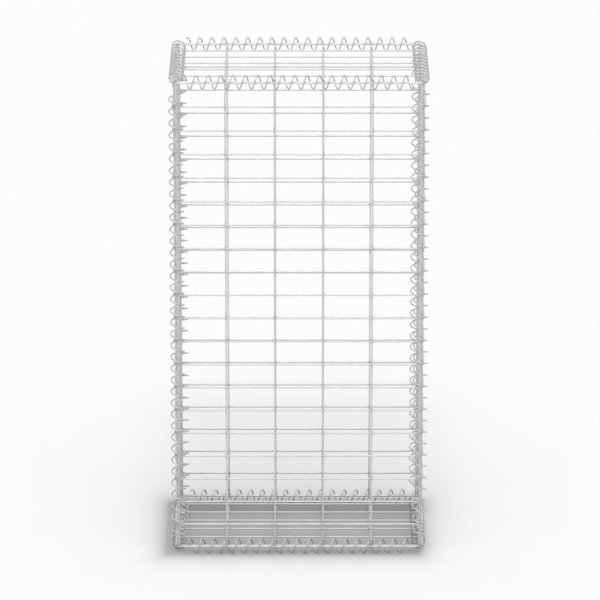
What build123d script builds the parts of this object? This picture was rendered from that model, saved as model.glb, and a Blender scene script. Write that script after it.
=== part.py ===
from build123d import *
import math
import os

# Gabion basket: six welded mesh panels, laced along all twelve edges by wire spirals.
# Millimetres, +Z up, X across the front, Y towards the back. The origin is on the ground
# under the middle of the basket.

# Basket, between the middles of its edge wires
width = 500.0
depth = 300.0
height = 1000.0

# Mesh cell: its width lies between posts and its height between rows. The cells come as near
# to this size as whole ones can.
cell_width = 100.0
cell_height = 50.0

# Mesh wire, and the room left between the edge wires of two panels that meet
mesh_wire = 3.5
panel_gap = 0.1

# Lacing spirals: wire, mean diameter, rise of a turn, room beside a cross wire, and how far
# short of the basket's corners they stop. Whole turns lie between two cross wires, so their
# rise comes as near to this one as that allows.
spiral_wire = 3.0
spiral_diameter = 27.0
spiral_pitch = 25.0
spiral_gap = 0.3
spiral_setback = 15.5

# A spiral bends in this many straight steps a turn, and its wire has this many sides
steps_per_turn = 5
spiral_sides = 3

# Cells along each side of the basket. The rows of the lid and base share out the bays of the
# side walls, so that the cross wires which a spiral passes stand in line.
cells_wide = round(width / cell_width)
cells_deep = round(depth / cell_width)
cells_high = round(height / cell_height)
rows_deep = cells_deep * round(cell_width / cell_height)

# Sizes that follow from those above
bar_side = mesh_wire * math.sqrt(math.pi) / 2
panel_step = mesh_wire + panel_gap
spiral_radius = spiral_diameter / 2
section_radius = spiral_wire / 2
rim_radius = spiral_radius * math.pi / (steps_per_turn * math.sin(math.pi / steps_per_turn))
flat_radius = rim_radius * math.cos(math.pi / steps_per_turn)

# The lid and the base lie between the walls, level with the top and bottom rows, and the
# spirals run along the edges of the box that they make. The walls stand a wire outside it,
# with their rows on the outside. Measured from the middle of the basket:
side_edge = width / 2
front_edge = depth / 2
side_posts = side_edge + panel_step
side_rows = side_posts + bar_side
front_posts = front_edge + panel_step
front_rows = front_posts + bar_side


def mesh_panel(place, across, up, bays, gaps, rows_outside):
    """One flat welded panel: posts with bays between them, and rows laid across with gaps between."""
    row_layer, post_layer = (bar_side, 0) if rows_outside else (0, bar_side)
    post = Pos(0, 0, post_layer) * Box(bar_side, up + bar_side, bar_side)
    row = Pos(0, 0, row_layer) * Box(across + bar_side, bar_side, bar_side)
    posts = GridLocations(across / bays, up, bays + 1, 1) * post
    rows = GridLocations(across, up / gaps, 1, gaps + 1) * row
    return place * (Part() + posts + rows)


def spiral_seat(turn_rise):
    """How far a turn passes from the middle of a cross wire, along the spiral."""
    lead_angle = math.atan2(turn_rise, math.pi * spiral_diameter)
    bar_reach = bar_side / 2 * (1 + math.tan(lead_angle))
    return bar_reach + (section_radius + spiral_gap) / math.cos(lead_angle)


def lacing_spiral(place, run, cells, layer, side):
    """A left-handed spiral along the place's Z, seated beside a panel's cross wires.

    The panel lies towards the place's X, with its cross wires a layer's distance off in Y and
    a cell apart, from the place's origin to the end of the run. Side is 1 where the turns pass
    just after the cross wires, and -1 where they pass just before them. The wire passes each
    cross wire in the middle of a straight step.
    """
    cross_pitch = run / cells
    turn_rise = cross_pitch / round(cross_pitch / spiral_pitch)
    step_rise = turn_rise / steps_per_turn
    step_angle = 2 * math.pi / steps_per_turn
    crossing_angle = -math.asin(layer / flat_radius)
    crossing_rise = side * spiral_seat(turn_rise)
    first = math.ceil((spiral_setback - crossing_rise) / step_rise - 1 / 2)
    last = math.floor((run - spiral_setback - crossing_rise) / step_rise - 1 / 2)
    bends = []
    for step in range(first, last + 1):
        steps_on = step + 1 / 2
        angle = crossing_angle + steps_on * step_angle
        rise = crossing_rise + steps_on * step_rise
        bends.append((rim_radius * math.cos(angle), -rim_radius * math.sin(angle), rise))
    path = Polyline(*bends)
    section = Plane(bends[0], z_dir=path % 0) * RegularPolygon(section_radius, spiral_sides)
    return place * sweep(section, path=path, transition=Transition.RIGHT)


def panels():
    """The four walls, the base and the lid, each facing outwards."""
    middle = height / 2
    front = Plane((0, -front_posts, middle), x_dir=(1, 0, 0), z_dir=(0, -1, 0))
    back = Plane((0, front_posts, middle), x_dir=(-1, 0, 0), z_dir=(0, 1, 0))
    left = Plane((-side_posts, 0, middle), x_dir=(0, -1, 0), z_dir=(-1, 0, 0))
    right = Plane((side_posts, 0, middle), x_dir=(0, 1, 0), z_dir=(1, 0, 0))
    base = Plane((0, 0, 0), x_dir=(-1, 0, 0), z_dir=(0, 0, -1))
    lid = Plane((0, 0, height), x_dir=(1, 0, 0), z_dir=(0, 0, 1))
    return {
        "front_panel": mesh_panel(front, width, height, cells_wide, cells_high, True),
        "back_panel": mesh_panel(back, width, height, cells_wide, cells_high, True),
        "left_panel": mesh_panel(left, depth, height, cells_deep, cells_high, True),
        "right_panel": mesh_panel(right, depth, height, cells_deep, cells_high, True),
        "base_panel": mesh_panel(base, width, depth, cells_wide, rows_deep, False),
        "lid_panel": mesh_panel(lid, width, depth, cells_wide, rows_deep, False),
    }


def post_spirals():
    """The four upright spirals: the left two rest on the front and back rows, the others on the
    right panel's rows."""
    row_layer = front_rows - front_edge
    side_layer = side_rows - side_edge
    up = (0, 0, 1)
    front_left = Plane((-side_edge, -front_edge, 0), x_dir=(1, 0, 0), z_dir=up)
    front_right = Plane((side_edge, -front_edge, 0), x_dir=(0, 1, 0), z_dir=up)
    back_left = Plane((-side_edge, front_edge, 0), x_dir=(1, 0, 0), z_dir=up)
    back_right = Plane((side_edge, front_edge, 0), x_dir=(0, -1, 0), z_dir=up)
    return {
        "front_left_spiral": lacing_spiral(front_left, height, cells_high, -row_layer, 1),
        "front_right_spiral": lacing_spiral(front_right, height, cells_high, -side_layer, -1),
        "back_left_spiral": lacing_spiral(back_left, height, cells_high, row_layer, -1),
        "back_right_spiral": lacing_spiral(back_right, height, cells_high, side_layer, 1),
    }


def wide_spirals():
    """The four spirals along the front and back edges, resting beside the posts."""
    layer = front_posts - front_edge
    along = (1, 0, 0)
    lid_front = Plane((-side_edge, -front_edge, height), x_dir=(0, 0, -1), z_dir=along)
    lid_back = Plane((-side_edge, front_edge, height), x_dir=(0, 0, -1), z_dir=along)
    base_front = Plane((-side_edge, -front_edge, 0), x_dir=(0, 0, 1), z_dir=along)
    base_back = Plane((-side_edge, front_edge, 0), x_dir=(0, 0, 1), z_dir=along)
    return {
        "lid_front_spiral": lacing_spiral(lid_front, width, cells_wide, -layer, 1),
        "lid_back_spiral": lacing_spiral(lid_back, width, cells_wide, layer, 1),
        "base_front_spiral": lacing_spiral(base_front, width, cells_wide, layer, -1),
        "base_back_spiral": lacing_spiral(base_back, width, cells_wide, -layer, -1),
    }


def deep_spirals():
    """The four spirals along the left and right edges, resting beside the lid's and base's wires."""
    along = (0, 1, 0)
    lid_left = Plane((-side_edge, -front_edge, height), x_dir=(1, 0, 0), z_dir=along)
    lid_right = Plane((side_edge, -front_edge, height), x_dir=(-1, 0, 0), z_dir=along)
    base_left = Plane((-side_edge, -front_edge, 0), x_dir=(1, 0, 0), z_dir=along)
    base_right = Plane((side_edge, -front_edge, 0), x_dir=(-1, 0, 0), z_dir=along)
    return {
        "lid_left_spiral": lacing_spiral(lid_left, depth, rows_deep, 0, -1),
        "lid_right_spiral": lacing_spiral(lid_right, depth, rows_deep, 0, 1),
        "base_left_spiral": lacing_spiral(base_left, depth, rows_deep, 0, 1),
        "base_right_spiral": lacing_spiral(base_right, depth, rows_deep, 0, -1),
    }


def standing(nodes):
    """Lifts the whole basket so that the lowest turn of its foot spirals stands on the ground."""
    lowest = min(node.bounding_box().min.Z for node in nodes.values())
    return {name: Pos(0, 0, -lowest) * node for name, node in nodes.items()}


basket = standing({**panels(), **post_spirals(), **wide_spirals(), **deep_spirals()})
os.makedirs("parts", exist_ok=True)
for node_name, solid in basket.items():
    export_step(solid, f"parts/{node_name}.step")
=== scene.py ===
"""Dresses a packed gabion basket: round galvanised wire, welded into panels and laced by spirals."""

import math
import random

import bpy
import numpy as np
from bpy.props import FloatProperty, FloatVectorProperty, IntProperty, PointerProperty
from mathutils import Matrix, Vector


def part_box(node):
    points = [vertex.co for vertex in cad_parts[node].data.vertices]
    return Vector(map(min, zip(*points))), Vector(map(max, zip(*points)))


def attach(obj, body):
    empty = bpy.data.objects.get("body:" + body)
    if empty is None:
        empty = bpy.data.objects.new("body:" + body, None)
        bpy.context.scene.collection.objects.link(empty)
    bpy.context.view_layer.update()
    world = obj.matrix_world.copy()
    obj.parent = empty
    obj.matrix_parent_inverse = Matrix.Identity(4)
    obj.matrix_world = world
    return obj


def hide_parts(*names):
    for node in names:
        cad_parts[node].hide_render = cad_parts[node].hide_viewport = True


bl_info = {
    "name": "Gabion Basket",
    "version": (1, 0, 0),
    "blender": (4, 5, 0),
    "location": "3D View > Sidebar > Gabion",
    "description": "Builds a welded mesh gabion basket with its lacing spirals around a packed frame",
    "category": "Add Mesh",
}

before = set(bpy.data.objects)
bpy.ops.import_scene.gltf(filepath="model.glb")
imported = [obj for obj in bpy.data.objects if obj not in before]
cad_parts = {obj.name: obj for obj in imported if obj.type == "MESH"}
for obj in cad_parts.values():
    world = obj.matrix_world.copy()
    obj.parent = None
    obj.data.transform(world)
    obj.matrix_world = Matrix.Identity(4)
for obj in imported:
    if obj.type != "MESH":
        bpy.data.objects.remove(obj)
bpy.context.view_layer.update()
X, Y, Z = 0, 1, 2

# Each panel: the axis its rows run along, the axis its posts run along, the axis it faces, and the
# side of it, along that axis, that its rows lie on.
WALLS = {
    "front_panel": (X, Z, Y, -1),
    "back_panel": (X, Z, Y, 1),
    "left_panel": (Y, Z, X, -1),
    "right_panel": (Y, Z, X, 1),
}
FLATS = {
    "base_panel": (X, Y, Z, 1),
    "lid_panel": (X, Y, Z, -1),
}

# Each spiral: the corner it starts from, as signs along X, Y and Z, the axis it runs along, the way to
# the panel it rests on, and the side of that panel's cross wires on which its turns pass.
CORNER_SPIRALS = {
    "front_left_spiral": ((-1, -1, -1), Z, (1, 0, 0), 1),
    "front_right_spiral": ((1, -1, -1), Z, (0, 1, 0), -1),
    "back_left_spiral": ((-1, 1, -1), Z, (1, 0, 0), -1),
    "back_right_spiral": ((1, 1, -1), Z, (0, -1, 0), 1),
}
EDGE_SPIRALS = {
    "lid_front_spiral": ((-1, -1, 1), X, (0, 0, -1), 1),
    "lid_back_spiral": ((-1, 1, 1), X, (0, 0, -1), 1),
    "base_front_spiral": ((-1, -1, -1), X, (0, 0, 1), -1),
    "base_back_spiral": ((-1, 1, -1), X, (0, 0, 1), -1),
    "lid_left_spiral": ((-1, -1, 1), Y, (1, 0, 0), -1),
    "lid_right_spiral": ((1, -1, 1), Y, (-1, 0, 0), 1),
    "base_left_spiral": ((-1, -1, -1), Y, (1, 0, 0), 1),
    "base_right_spiral": ((1, -1, -1), Y, (-1, 0, 0), -1),
}

# Wire: the spirals' diameter, then the bevel and the face of a sheared end as shares of the wire's
# radius, and the rings gathered round a weld, counted in heat reaches from it.
SPIRAL_WIRE = 0.003
BEVEL_SHARE = 0.22
FACE_SHARE = 0.8
WELD_RINGS = (-2, -1, -0.5, 0, 0.5, 1, 2)

# Weld beads: their rings and sides, the narrowest ring as a share of the widest, and the least and most
# of one bead's size, of its lean in radians and of its shift as a share of its width.
BEAD_RINGS = 7
BEAD_SIDES = 10
BEAD_TIP = 0.05
BEAD_SIZE = (0.9, 1.12)
BEAD_LEAN = (-0.4, 0.4)
BEAD_SHIFT = (-0.05, 0.05)

# Names of the map and the marks that each wire mesh carries for its finish.
WIRE_MAP = "wire"
WELD_MARK = "weld"
CUT_MARK = "cut"

# Zinc: crystal facets to a cloud and how much they show, the length and width of a drawn streak, and
# the size of the spirals' clouds as a share of the mesh's.
FACETS_PER_CLOUD = 3.2
FACET_SHARE = 0.35
STREAK_LENGTH = 0.018
STREAK_WIDTH = 0.0005
SPIRAL_CLOUDS = 0.7

# Wear of the zinc: what clouds and streaks add to it, how burnt a weld is in clean zinc and how much
# more in a cloud, and how much of a cut end is bare steel.
CLOUD_WEAR = 0.65
STREAK_WEAR = 0.35
LEAST_BURN = 0.25
CLOUD_BURN = 0.5
BARE_SHARE = 0.8

# Gloss and relief of the zinc: roughness where it is clean and where it is worn, how metallic it is,
# and the height of the streaks against the clouds, with the strength and depth of both.
MESH_ROUGHNESS = (0.36, 0.5)
SPIRAL_ROUGHNESS = (0.17, 0.34)
METALLIC = 0.9
STREAK_RELIEF = 0.5
RELIEF_STRENGTH = 0.15
RELIEF_DEPTH = 0.0002

# Stage: half the side of the floor, the tilt of the key light from upright and its width across, and
# the colours of the floor's full painted shadow and of the surroundings.
FLOOR_REACH = 60.0
KEY_TILT = math.radians(24)
KEY_WIDTH = math.radians(50)
BLACK = (0, 0, 0, 1)
WHITE = (1, 1, 1, 1)

# The sockets of a mix node that take and give colours, which share their names with those for numbers.
MIX_SHARE, MIX_FIRST, MIX_SECOND = 0, 6, 7
MIX_RESULT = 2


def box_of(node):
    """A node's lowest and highest corners as arrays."""
    return tuple(np.array(corner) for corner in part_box(node))


def bar_side():
    """The side of the square bar that stands for each mesh wire in the frame."""
    low, high = box_of("front_panel")
    return (high[Y] - low[Y]) / 2


def edge_corners():
    """The lowest and highest corners of the box that the edge wires of the lid and base make."""
    flat_low, flat_high = box_of("lid_panel")
    wall_low, wall_high = box_of("front_panel")
    inset = bar_side() / 2
    low = np.array((flat_low[X], flat_low[Y], wall_low[Z])) + inset
    high = np.array((flat_high[X], flat_high[Y], wall_high[Z])) - inset
    return low, high


EDGE_LOW, EDGE_HIGH = edge_corners()

# The soft patches of painted shadow that darken the floor's colour, each under the name of the stage's
# setting for how much. The first lies under the basket and a little past its left and front edges, the
# second along its back edge, and the third behind it.
HALF_WIDTH, HALF_DEPTH = EDGE_HIGH[X], EDGE_HIGH[Y]
FLOOR_PATCHES = {
    "painted_shade": {
        "Middle X": -0.014, "Half X": HALF_WIDTH + 0.013, "Reach X": 0.02,
        "Middle Y": -0.0065, "Half Y": HALF_DEPTH + 0.0065, "Reach Y": 0.032,
        "Softness": 1.0,
    },
    "painted_edge_shade": {
        "Half X": HALF_WIDTH - 0.01, "Reach X": 0.03,
        "Middle Y": HALF_DEPTH - 0.025, "Half Y": 0.015, "Reach Y": 0.03,
        "Softness": 2.0,
    },
    "painted_far_shade": {
        "Half X": 0.8 * HALF_WIDTH, "Reach X": 0.12,
        "Middle Y": 3 * HALF_DEPTH, "Half Y": 1.3 * HALF_DEPTH, "Reach Y": 0.27,
        "Softness": 2.0,
    },
}


class GabionMesh(bpy.types.PropertyGroup):
    """Sizes of the welded mesh."""

    wire: FloatProperty(
        name="Wire", description="Diameter of the mesh wire", default=0.0035, unit="LENGTH")
    row_pitch: FloatProperty(
        name="Row pitch", description="From one row to the next", default=0.05, unit="LENGTH")
    post_pitch: FloatProperty(
        name="Post pitch", description="From one post to the next", default=0.1, unit="LENGTH")
    bead_width: FloatProperty(
        name="Weld width", description="Width of the bead of metal squeezed out at a weld",
        default=0.0047, unit="LENGTH")
    bead_depth: FloatProperty(
        name="Weld depth", description="Depth of that bead between the two wires",
        default=0.0022, unit="LENGTH")
    heat_reach: FloatProperty(
        name="Heat reach", description="How far the dulled zinc reaches along a wire from its weld",
        default=0.005, unit="LENGTH")
    sides: IntProperty(name="Sides", description="Sides of the round wire", default=12, min=6)


class GabionSpiral(bpy.types.PropertyGroup):
    """Sizes of the lacing spirals."""

    wire: FloatProperty(
        name="Wire", description="Diameter of the spiral wire", default=SPIRAL_WIRE, unit="LENGTH")
    pitch: FloatProperty(
        name="Pitch", description="From one turn to the next", default=0.025, unit="LENGTH")
    seat: FloatProperty(
        name="Seat", description="From the middle of a turn's wire to that of the cross wire beside it",
        default=0.00388, unit="LENGTH")
    coil: FloatProperty(
        name="Coil", description="Diameter of the turns, measured at the middle of the wire",
        default=2 * (EDGE_LOW[Z] - SPIRAL_WIRE / 2), unit="LENGTH")
    steps: IntProperty(name="Steps", description="Steps in each turn", default=36, min=12)
    sides: IntProperty(name="Sides", description="Sides of the round wire", default=10, min=6)


class GabionZinc(bpy.types.PropertyGroup):
    """Colours of the zinc coating."""

    mesh_pale: FloatVectorProperty(
        name="Pale mesh", description="Zinc of the mesh where it is clean", subtype="COLOR",
        default=(0.69, 0.695, 0.702))
    mesh_dull: FloatVectorProperty(
        name="Dull mesh", description="Zinc of the mesh where it has weathered", subtype="COLOR",
        default=(0.613, 0.618, 0.625))
    spiral_pale: FloatVectorProperty(
        name="Pale spirals", description="Zinc of the spirals where it is clean", subtype="COLOR",
        default=(0.577, 0.582, 0.59))
    spiral_dull: FloatVectorProperty(
        name="Dull spirals", description="Zinc of the spirals where it has weathered", subtype="COLOR",
        default=(0.494, 0.499, 0.508))
    burnt: FloatVectorProperty(
        name="Burnt zinc", description="Zinc that a weld has heated", subtype="COLOR",
        default=(0.43, 0.425, 0.42))
    steel: FloatVectorProperty(
        name="Bare steel", description="Steel on a cut end", subtype="COLOR",
        default=(0.33, 0.32, 0.31))
    mottle: FloatProperty(
        name="Mottle", description="Size of the clouds in the zinc", default=0.014, unit="LENGTH")


class GabionStage(bpy.types.PropertyGroup):
    """Floor, light and camera."""

    floor: FloatVectorProperty(
        name="Floor", description="Colour of the floor", subtype="COLOR", default=(0.985, 0.985, 0.985))
    # The floor's painted shadow: how much its colour is darkened under the basket, along its back edge and
    # behind it.
    painted_shade: FloatProperty(
        name="Shade", description="How much darker the floor is under the basket", default=0.445,
        min=0, max=1, subtype="FACTOR")
    painted_edge_shade: FloatProperty(
        name="Edge shade", description="How much darker again it is along the basket's back edge",
        default=0.255, min=0, max=1, subtype="FACTOR")
    painted_far_shade: FloatProperty(
        name="Far shade", description="How much darker the floor is behind the basket", default=0.105,
        min=0, max=1, subtype="FACTOR")
    ambient: FloatProperty(
        name="Ambient", description="Light from all round", default=0.76)
    key: FloatProperty(
        name="Key", description="Strength of the soft light from the front", default=0.8)
    lens: FloatProperty(
        name="Lens", description="Focal length of the camera in millimetres", default=295.9)
    distance: FloatProperty(
        name="Distance", description="From the camera to the basket's middle along the floor",
        default=9.7907, unit="LENGTH")
    height: FloatProperty(
        name="Height", description="Height of the camera", default=3.6422, unit="LENGTH")
    offset: FloatProperty(
        name="Offset", description="How far the camera stands right of the middle", default=0.0019,
        unit="LENGTH")
    pitch: FloatProperty(
        name="Pitch", description="How far the camera looks down", default=0.3101, unit="ROTATION")


class WireMesh:
    """Tubes of wire that become one mesh, with a length and girth map and marks for welds and cuts."""

    def __init__(self):
        self.points, self.faces, self.smooth, self.maps = [], [], [], []
        self.weld, self.cut = [], []
        self.count = 0

    def tube(self, centres, across, beside, radii, sides, weld=0.0, cut=0.0):
        """Adds a closed tube along a line of centres; across and beside span its rings."""
        rings = len(centres)
        across = np.broadcast_to(across, centres.shape)
        beside = np.broadcast_to(beside, centres.shape)
        turn = np.linspace(0, 2 * math.pi, sides, endpoint=False)
        spread = np.cos(turn)[None, :, None] * across[:, None, :]
        spread = spread + np.sin(turn)[None, :, None] * beside[:, None, :]
        points = centres[:, None, :] + radii[:, None, None] * spread
        self.points.append(points.reshape(-1, 3))
        self.weld.append(np.repeat(np.broadcast_to(weld, rings), sides))
        self.cut.append(np.repeat(np.broadcast_to(cut, rings), sides))

        ring = np.arange(rings - 1)[:, None] * sides
        here = np.arange(sides)[None, :]
        after = (here + 1) % sides
        quads = np.stack([ring + here, ring + after, ring + sides + after, ring + sides + here], -1)
        self.faces += (quads.reshape(-1, 4) + self.count).tolist()
        ends = [list(range(sides))[::-1], list(range((rings - 1) * sides, rings * sides))]
        self.faces += [[self.count + point for point in end] for end in ends]
        self.smooth += [True] * (sides * (rings - 1)) + [False, False]

        steps = np.linalg.norm(np.diff(centres, axis=0), axis=1)
        along = np.concatenate([[0], np.cumsum(steps)])
        girth = np.arange(sides + 1) * 2 * math.pi * radii.max() / sides
        along_here, girth_here = np.meshgrid(along[:-1], girth[:-1], indexing="ij")
        along_next, girth_next = np.meshgrid(along[1:], girth[1:], indexing="ij")
        corners = np.stack([along_here, girth_here, along_here, girth_next,
                            along_next, girth_next, along_next, girth_here], -1)
        self.maps.append(corners.reshape(-1))
        self.maps += [np.tile((place, 0.0), sides) for place in (along[0], along[-1])]
        self.count += rings * sides

    def piece(self, name, material):
        """The mesh as an object in the scene, under a name and with a finish."""
        mesh = bpy.data.meshes.new(name)
        mesh.from_pydata(np.concatenate(self.points).tolist(), [], self.faces)
        mesh.polygons.foreach_set("use_smooth", self.smooth)
        mesh.uv_layers.new(name=WIRE_MAP).data.foreach_set("uv", np.concatenate(self.maps))
        for mark, values in ((WELD_MARK, self.weld), (CUT_MARK, self.cut)):
            attribute = mesh.attributes.new(mark, "FLOAT", "POINT")
            attribute.data.foreach_set("value", np.concatenate(values).astype(np.float32))
        mesh.materials.append(material)
        piece = bpy.data.objects.new(name, mesh)
        bpy.context.scene.collection.objects.link(piece)
        return piece


def spaced(first, last, pitch):
    """Places from first to last, one pitch apart."""
    return np.linspace(first, last, round((last - first) / pitch) + 1)


def unit(axis):
    """The direction of an axis."""
    return np.eye(3)[axis]


def cut_ends(stations, radius):
    """Adds to a wire's stations the small bevel of a sheared end; gives stations, radii and cut marks."""
    bevel = radius * BEVEL_SHARE
    clear = 2 * bevel
    start, end = stations[0], stations[-1]
    inner = stations[(stations > start + clear) & (stations < end - clear)]
    places = np.concatenate([[start, start + bevel], inner, [end - bevel, end]])
    radii = np.full(len(places), radius)
    radii[[0, -1]] = radius * FACE_SHARE
    cut = np.zeros(len(places))
    cut[[0, -1]] = 1
    return places, radii, cut


def straight_wire(wires, start, axis, side_axis, length, welds, mesh):
    """Adds one straight wire from start along an axis, with rings gathered round its welds."""
    reach = mesh.heat_reach
    near = [weld + step * reach for weld in welds for step in WELD_RINGS]
    between = (welds[:-1] + welds[1:]) / 2
    stations = np.unique(np.clip(np.concatenate([[0, length], near, between]), 0, length))
    places, radii, cut = cut_ends(stations, mesh.wire / 2)
    gap = np.abs(places[:, None] - welds[None, :]).min(axis=1)
    heat = np.exp(-(gap / reach) ** 2)
    along, across = unit(axis), unit(side_axis)
    centres = start + places[:, None] * along
    wires.tube(centres, across, np.cross(along, across), radii, mesh.sides, heat, cut)


def weld_bead(wires, centre, axis, side_axis, mesh, chance):
    """Adds the flattened bead of metal at a weld, a little different each time."""
    slope = np.linspace(-math.pi / 2, math.pi / 2, BEAD_RINGS)
    size = chance.uniform(*BEAD_SIZE)
    lean = chance.uniform(*BEAD_LEAN)
    along, side = unit(axis), unit(side_axis)
    across = math.cos(lean) * side + math.sin(lean) * np.cross(along, side)
    shift = across * chance.uniform(*BEAD_SHIFT) * mesh.bead_width
    centres = centre + shift + np.sin(slope)[:, None] * along * mesh.bead_depth / 2
    radii = np.maximum(np.cos(slope), BEAD_TIP) * mesh.bead_width / 2 * size
    wires.tube(centres, across, np.cross(along, across), radii, BEAD_SIDES, weld=1.0)


def build_panel(node, plan, mesh, material):
    """One welded panel: posts, rows across them, and a bead at each crossing."""
    row_axis, post_axis, facing, row_side = plan
    low, high = box_of(node)
    half = bar_side() / 2
    middle = (low[facing] + high[facing]) / 2
    posts = spaced(low[row_axis] + half, high[row_axis] - half, mesh.post_pitch)
    rows = spaced(low[post_axis] + half, high[post_axis] - half, mesh.row_pitch)
    wires = WireMesh()
    for post in posts:
        start = low.copy()
        start[row_axis], start[facing] = post, middle - row_side * half
        length = high[post_axis] - low[post_axis]
        straight_wire(wires, start, post_axis, facing, length, rows - low[post_axis], mesh)
    for row in rows:
        start = low.copy()
        start[post_axis], start[facing] = row, middle + row_side * half
        length = high[row_axis] - low[row_axis]
        straight_wire(wires, start, row_axis, facing, length, posts - low[row_axis], mesh)
    chance = random.Random(node)
    for post in posts:
        for row in rows:
            centre = np.empty(3)
            centre[row_axis], centre[post_axis], centre[facing] = post, row, middle
            weld_bead(wires, centre, facing, row_axis, mesh, chance)
    piece = wires.piece("dressed_" + node, material)
    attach(piece, "root")
    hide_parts(node)


def cross_wire_layer(axis, toward, corner):
    """How far the cross wires that a spiral rests on lie from its axis, across the way to their panel."""
    half = bar_side() / 2
    low, high = box_of("front_panel")
    rows_out = -(low[Y] + half) + EDGE_LOW[Y]
    posts_out = -(high[Y] - half) + EDGE_LOW[Y]
    beside = np.cross(unit(axis), toward)
    outward = np.sign(np.dot(beside, corner))
    if axis == Z:
        return outward * rows_out
    if axis == X:
        return outward * posts_out
    return 0.0


def build_spiral(node, plan, spiral, material):
    """One left-handed spiral along an edge, its turns passing beside the cross wires."""
    corner, axis, toward, side = plan
    toward = np.array(toward, float)
    signs = np.array(corner)
    origin = np.where(signs > 0, EDGE_HIGH, EDGE_LOW)
    origin[axis] = EDGE_LOW[axis]
    along = unit(axis)
    beside = np.cross(along, toward)
    radius = spiral.coil / 2
    layer = cross_wire_layer(axis, toward, signs * (1 - np.abs(along)))
    low, high = box_of(node)
    first = low[axis] - origin[axis] + spiral.wire / 2
    last = high[axis] - origin[axis] - spiral.wire / 2
    count = round((last - first) / spiral.pitch * spiral.steps) + 1
    turn = math.hypot(2 * math.pi * radius, spiral.pitch)
    length = (last - first) / spiral.pitch * turn
    places, radii, cut = cut_ends(np.linspace(0, length, count), spiral.wire / 2)
    rises = first + places / turn * spiral.pitch
    angles = (rises - side * spiral.seat) / spiral.pitch * 2 * math.pi - math.asin(layer / radius)
    cos, sin = np.cos(angles)[:, None], np.sin(angles)[:, None]
    out = toward * cos - beside * sin
    lead = spiral.pitch / (2 * math.pi)
    tangent = radius * (-toward * sin - beside * cos) + lead * along
    tangent /= np.linalg.norm(tangent, axis=1)[:, None]
    centres = origin + radius * out + rises[:, None] * along
    wires = WireMesh()
    wires.tube(centres, out, np.cross(tangent, out), radii, spiral.sides, cut=cut)
    piece = wires.piece("dressed_" + node, material)
    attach(piece, "root")
    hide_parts(node)


def feed(tree, socket, source):
    """Links a socket to another one, or sets it to a plain value."""
    if isinstance(source, bpy.types.NodeSocket):
        tree.links.new(source, socket)
    else:
        socket.default_value = source


def new_node(tree, kind, inputs=None, **settings):
    """A new node with its settings, and its named or numbered inputs fed by sockets or values."""
    node = tree.nodes.new(kind)
    for name, value in settings.items():
        setattr(node, name, value)
    for name, source in (inputs or {}).items():
        feed(tree, node.inputs[name], source)
    return node


def math_node(tree, operation, *sources, clamp=False):
    """A math node on one or two sources, each a socket or a number; gives its output."""
    node = new_node(tree, "ShaderNodeMath", dict(enumerate(sources)), operation=operation, use_clamp=clamp)
    return node.outputs["Value"]


def remap(tree, source, ends):
    """A value carried from one range to another and held inside it; gives its output."""
    return new_node(tree, "ShaderNodeMapRange", {"Value": source, **ends}).outputs["Result"]


def mix_colours(tree, share, first, second):
    """A mix of two colours by a share, each a socket or a value; gives its output."""
    inputs = {MIX_SHARE: share, MIX_FIRST: first, MIX_SECOND: second}
    return new_node(tree, "ShaderNodeMix", inputs, data_type="RGBA").outputs[MIX_RESULT]


def start_group(name, inputs, output):
    """A shader group with named number sockets and nothing between them; gives it and its two ends."""
    tree = bpy.data.node_groups.new(name, "ShaderNodeTree")
    for socket, value in inputs.items():
        made = tree.interface.new_socket(socket, in_out="INPUT", socket_type="NodeSocketFloat")
        made.default_value = value
    tree.interface.new_socket(output, in_out="OUTPUT", socket_type="NodeSocketFloat")
    return tree, tree.nodes.new("NodeGroupInput").outputs, tree.nodes.new("NodeGroupOutput").inputs


def zinc_clouds_group(name):
    """Soft clouds and small crystal facets in a zinc coating."""
    tree, given, result = start_group(name, {"Size": 0.009, "Facets": FACET_SHARE}, "Cloud")
    place = new_node(tree, "ShaderNodeTexCoord").outputs["Object"]
    scale = math_node(tree, "DIVIDE", 1.0, given["Size"])
    cloud = new_node(tree, "ShaderNodeTexNoise", {
        "Vector": place, "Scale": scale, "Detail": 3.0, "Roughness": 0.5})
    spread = remap(tree, cloud.outputs["Fac"], {"From Min": 0.32, "From Max": 0.68})
    facet_scale = math_node(tree, "MULTIPLY", scale, FACETS_PER_CLOUD)
    facet = new_node(tree, "ShaderNodeTexVoronoi", {"Vector": place, "Scale": facet_scale}, feature="F1")
    grey = new_node(tree, "ShaderNodeSeparateColor", {"Color": facet.outputs["Color"]}).outputs["Red"]
    from_middle = math_node(tree, "SUBTRACT", grey, 0.5)
    facets = math_node(tree, "MULTIPLY", from_middle, given["Facets"])
    feed(tree, result["Cloud"], math_node(tree, "ADD", spread, facets, clamp=True))
    return tree


def drawn_streaks_group(name):
    """Fine streaks along a wire, left by the die that drew it."""
    tree, given, result = start_group(name, {"Length": STREAK_LENGTH, "Width": STREAK_WIDTH}, "Streak")
    place = new_node(tree, "ShaderNodeUVMap", uv_map=WIRE_MAP).outputs["UV"]
    ways = new_node(tree, "ShaderNodeSeparateXYZ", {"Vector": place}).outputs
    along = math_node(tree, "DIVIDE", ways["X"], given["Length"])
    around = math_node(tree, "DIVIDE", ways["Y"], given["Width"])
    drawn = new_node(tree, "ShaderNodeCombineXYZ", {"X": along, "Y": around}).outputs["Vector"]
    noise = new_node(tree, "ShaderNodeTexNoise", {
        "Vector": drawn, "Scale": 1.0, "Detail": 3.0, "Roughness": 0.55})
    feed(tree, result["Streak"], remap(tree, noise.outputs["Fac"], {"From Min": 0.3, "From Max": 0.7}))
    return tree


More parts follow.
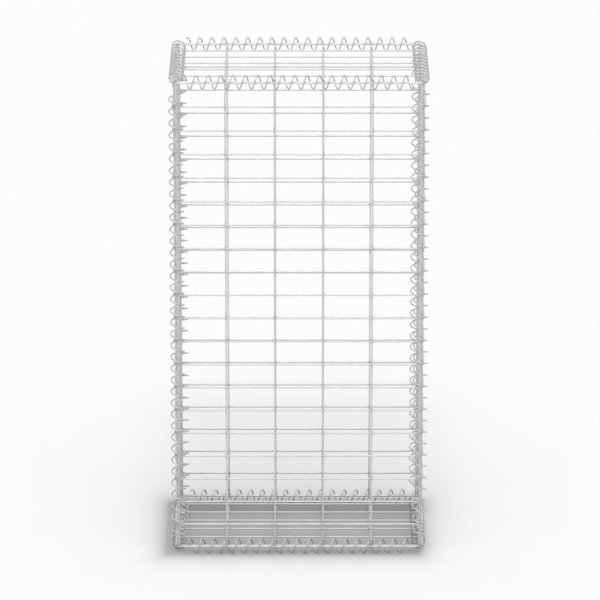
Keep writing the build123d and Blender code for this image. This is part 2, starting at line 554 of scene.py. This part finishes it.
def soft_patch_group(name):
    """A soft rectangle on the floor: 1 inside its edges, and 1/e at its reach beyond them.

    With a softness of 1 it falls off sharply from its edges, and with a higher one gently at first.
    """
    tree, given, result = start_group(name, {
        "Middle X": 0.0, "Half X": 0.1, "Reach X": 0.1,
        "Middle Y": 0.0, "Half Y": 0.1, "Reach Y": 0.1,
        "Softness": 1.0}, "Patch")
    place = new_node(tree, "ShaderNodeTexCoord").outputs["Object"]
    ways = new_node(tree, "ShaderNodeSeparateXYZ", {"Vector": place}).outputs
    squares = []
    for way in "XY":
        from_middle = math_node(tree, "SUBTRACT", ways[way], given["Middle " + way])
        distance = math_node(tree, "ABSOLUTE", from_middle)
        beyond = math_node(tree, "SUBTRACT", distance, given["Half " + way])
        outside = math_node(tree, "MAXIMUM", beyond, 0.0)
        share = math_node(tree, "DIVIDE", outside, given["Reach " + way])
        squares.append(math_node(tree, "MULTIPLY", share, share))
    share = math_node(tree, "SQRT", math_node(tree, "ADD", *squares))
    fall = math_node(tree, "POWER", share, given["Softness"])
    patch = math_node(tree, "POWER", math.e, math_node(tree, "MULTIPLY", fall, -1.0))
    feed(tree, result["Patch"], patch)
    return tree


def place_group(tree, name, make, inputs):
    """A shader group, made the first time and placed with its own values; gives its output."""
    group = bpy.data.node_groups.get(name) or make(name)
    return new_node(tree, "ShaderNodeGroup", inputs, node_tree=group).outputs[0]


def new_material(name):
    """A material with only its shader and output; gives it, its tree and the shader's inputs."""
    material = bpy.data.materials.new(name)
    material.use_nodes = True
    return material, material.node_tree, material.node_tree.nodes["Principled BSDF"].inputs


def zinc_material(name, zinc, pale, dull, cloud_size, roughness):
    """Galvanised wire: clouded zinc, drawn streaks, burnt welds and bare cut ends."""
    material, tree, shader = new_material(name)
    clouds = place_group(tree, "Zinc clouds", zinc_clouds_group, {
        "Size": cloud_size, "Facets": FACET_SHARE})
    streaks = place_group(tree, "Drawn streaks", drawn_streaks_group, {
        "Length": STREAK_LENGTH, "Width": STREAK_WIDTH})
    weld = new_node(tree, "ShaderNodeAttribute", attribute_name=WELD_MARK).outputs["Fac"]
    cut = new_node(tree, "ShaderNodeAttribute", attribute_name=CUT_MARK).outputs["Fac"]

    clouded = math_node(tree, "MULTIPLY", clouds, CLOUD_WEAR)
    streaked = math_node(tree, "MULTIPLY", streaks, STREAK_WEAR)
    wear = math_node(tree, "ADD", clouded, streaked, clamp=True)
    burn = math_node(tree, "ADD", math_node(tree, "MULTIPLY", clouds, CLOUD_BURN), LEAST_BURN)
    heat = math_node(tree, "MULTIPLY", weld, burn, clamp=True)
    bare = math_node(tree, "MULTIPLY", cut, BARE_SHARE)
    coat = mix_colours(tree, wear, (*pale, 1), (*dull, 1))
    coat = mix_colours(tree, heat, coat, (*zinc.burnt, 1))
    coat = mix_colours(tree, bare, coat, (*zinc.steel, 1))
    feed(tree, shader["Base Color"], coat)

    smooth, rough = roughness
    worn = math_node(tree, "MAXIMUM", wear, weld)
    feed(tree, shader["Roughness"], remap(tree, worn, {"To Min": smooth, "To Max": rough}))
    feed(tree, shader["Metallic"], METALLIC)

    relief = math_node(tree, "ADD", math_node(tree, "MULTIPLY", streaks, STREAK_RELIEF), clouds)
    bump = new_node(tree, "ShaderNodeBump", {
        "Strength": RELIEF_STRENGTH, "Distance": RELIEF_DEPTH, "Height": relief})
    feed(tree, shader["Normal"], bump.outputs["Normal"])
    return material


def mesh_material(zinc):
    """The mesh wire's finish, made once."""
    name = "galvanised_mesh_wire"
    return bpy.data.materials.get(name) or zinc_material(
        name, zinc, zinc.mesh_pale, zinc.mesh_dull, zinc.mottle, MESH_ROUGHNESS)


def spiral_material(zinc):
    """The spirals' finish, a finer and smoother coat, made once."""
    name = "galvanised_spiral_wire"
    return bpy.data.materials.get(name) or zinc_material(
        name, zinc, zinc.spiral_pale, zinc.spiral_dull, zinc.mottle * SPIRAL_CLOUDS, SPIRAL_ROUGHNESS)


def floor_material(stage):
    """A plain pale floor, softly shaded under the basket, along its back edge and behind it."""
    material, tree, shader = new_material("studio_floor")
    # The share of the floor's colour left after the painted shadow of each patch; none left is black.
    light = 1.0
    for setting, inputs in FLOOR_PATCHES.items():
        patch = place_group(tree, "Soft patch", soft_patch_group, inputs)
        painted_shade = math_node(tree, "MULTIPLY", patch, getattr(stage, setting))
        light = math_node(tree, "MULTIPLY", light, math_node(tree, "SUBTRACT", 1.0, painted_shade))
    feed(tree, shader["Base Color"], mix_colours(tree, light, BLACK, (*stage.floor, 1)))
    feed(tree, shader["Roughness"], 1.0)
    feed(tree, shader["Specular IOR Level"], 0.0)
    return material


def build_floor(stage):
    """A wide level floor at the foot of the basket."""
    mesh = bpy.data.meshes.new("studio_floor")
    corners = [(x * FLOOR_REACH, y * FLOOR_REACH, 0) for x, y in ((-1, -1), (1, -1), (1, 1), (-1, 1))]
    mesh.from_pydata(corners, [], [(0, 1, 2, 3)])
    mesh.materials.append(floor_material(stage))
    floor = bpy.data.objects.new("studio_floor", mesh)
    bpy.context.scene.collection.objects.link(floor)


def build_light(stage):
    """Even white surroundings and one very soft light from the front and above."""
    world = bpy.data.worlds.new("studio_surroundings")
    bpy.context.scene.world = world
    world.use_nodes = True
    tree = world.node_tree
    path = new_node(tree, "ShaderNodeLightPath").outputs
    mirrored = math_node(tree, "MAXIMUM", path["Is Glossy Ray"], path["Is Transmission Ray"])
    seen = math_node(tree, "MAXIMUM", path["Is Camera Ray"], mirrored)
    background = tree.nodes["Background"].inputs
    feed(tree, background["Color"], WHITE)
    feed(tree, background["Strength"], remap(tree, seen, {"To Min": stage.ambient, "To Max": 1.0}))

    lamp = bpy.data.lights.new("key_light", "SUN")
    lamp.energy = stage.key
    lamp.angle = KEY_WIDTH
    key = bpy.data.objects.new("key_light", lamp)
    key.rotation_euler = (KEY_TILT, 0, 0)
    bpy.context.scene.collection.objects.link(key)


def build_camera(stage):
    """The camera, level and far off, looking a little down on the basket."""
    lens = bpy.data.cameras.new("camera")
    lens.lens = stage.lens
    camera = bpy.data.objects.new("camera", lens)
    camera.location = (stage.offset, -stage.distance, stage.height)
    camera.rotation_euler = (math.pi / 2 - stage.pitch, 0, 0)
    bpy.context.scene.collection.objects.link(camera)
    bpy.context.scene.camera = camera


class GABION_OT_walls(bpy.types.Operator):
    """Builds the four welded mesh walls"""

    bl_idname = "gabion.walls"
    bl_label = "Mesh walls"

    def execute(self, context):
        scene = context.scene
        for node, plan in WALLS.items():
            build_panel(node, plan, scene.gabion_mesh, mesh_material(scene.gabion_zinc))
        return {"FINISHED"}


class GABION_OT_flats(bpy.types.Operator):
    """Builds the welded mesh base and lid"""

    bl_idname = "gabion.flats"
    bl_label = "Base and lid"

    def execute(self, context):
        scene = context.scene
        for node, plan in FLATS.items():
            build_panel(node, plan, scene.gabion_mesh, mesh_material(scene.gabion_zinc))
        return {"FINISHED"}


class GABION_OT_corner_spirals(bpy.types.Operator):
    """Builds the four upright spirals at the corners"""

    bl_idname = "gabion.corner_spirals"
    bl_label = "Corner spirals"

    def execute(self, context):
        scene = context.scene
        for node, plan in CORNER_SPIRALS.items():
            build_spiral(node, plan, scene.gabion_spiral, spiral_material(scene.gabion_zinc))
        return {"FINISHED"}


class GABION_OT_edge_spirals(bpy.types.Operator):
    """Builds the eight level spirals round the lid and the base"""

    bl_idname = "gabion.edge_spirals"
    bl_label = "Lid and base spirals"

    def execute(self, context):
        scene = context.scene
        for node, plan in EDGE_SPIRALS.items():
            build_spiral(node, plan, scene.gabion_spiral, spiral_material(scene.gabion_zinc))
        return {"FINISHED"}


class GABION_OT_stage(bpy.types.Operator):
    """Lays the floor and sets the light and the camera"""

    bl_idname = "gabion.stage"
    bl_label = "Floor, light and camera"

    def execute(self, context):
        stage = context.scene.gabion_stage
        context.scene.view_settings.view_transform = "Standard"
        build_floor(stage)
        build_light(stage)
        build_camera(stage)
        return {"FINISHED"}


class GABION_PT_basket(bpy.types.Panel):
    """Lists the steps that build the basket, and its settings"""

    bl_idname = "GABION_PT_basket"
    bl_label = "Gabion Basket"
    bl_space_type = "VIEW_3D"
    bl_region_type = "UI"
    bl_category = "Gabion"

    def draw(self, context):
        for step in OPERATORS:
            self.layout.operator(step.bl_idname)
        for name, group in SETTINGS.items():
            column = self.layout.column(heading=group.__doc__)
            for setting in group.__annotations__:
                column.prop(getattr(context.scene, name), setting)


SETTINGS = {
    "gabion_mesh": GabionMesh,
    "gabion_spiral": GabionSpiral,
    "gabion_zinc": GabionZinc,
    "gabion_stage": GabionStage,
}
OPERATORS = (
    GABION_OT_walls,
    GABION_OT_flats,
    GABION_OT_corner_spirals,
    GABION_OT_edge_spirals,
    GABION_OT_stage,
)


def register():
    """Adds the settings to the scene, and the operators and the panel to Blender."""
    for group in SETTINGS.values():
        bpy.utils.register_class(group)
    for name, group in SETTINGS.items():
        setattr(bpy.types.Scene, name, PointerProperty(type=group))
    for step in (*OPERATORS, GABION_PT_basket):
        bpy.utils.register_class(step)


def unregister():
    """Takes away what register adds, in the opposite order."""
    for step in (GABION_PT_basket, *reversed(OPERATORS)):
        bpy.utils.unregister_class(step)
    for name in SETTINGS:
        delattr(bpy.types.Scene, name)
    for group in reversed(SETTINGS.values()):
        bpy.utils.unregister_class(group)


def main():
    """Builds the basket and its stage."""
    register()
    bpy.ops.gabion.walls()
    bpy.ops.gabion.flats()
    bpy.ops.gabion.corner_spirals()
    bpy.ops.gabion.edge_spirals()
    bpy.ops.gabion.stage()


if __name__ == "__main__":
    main()
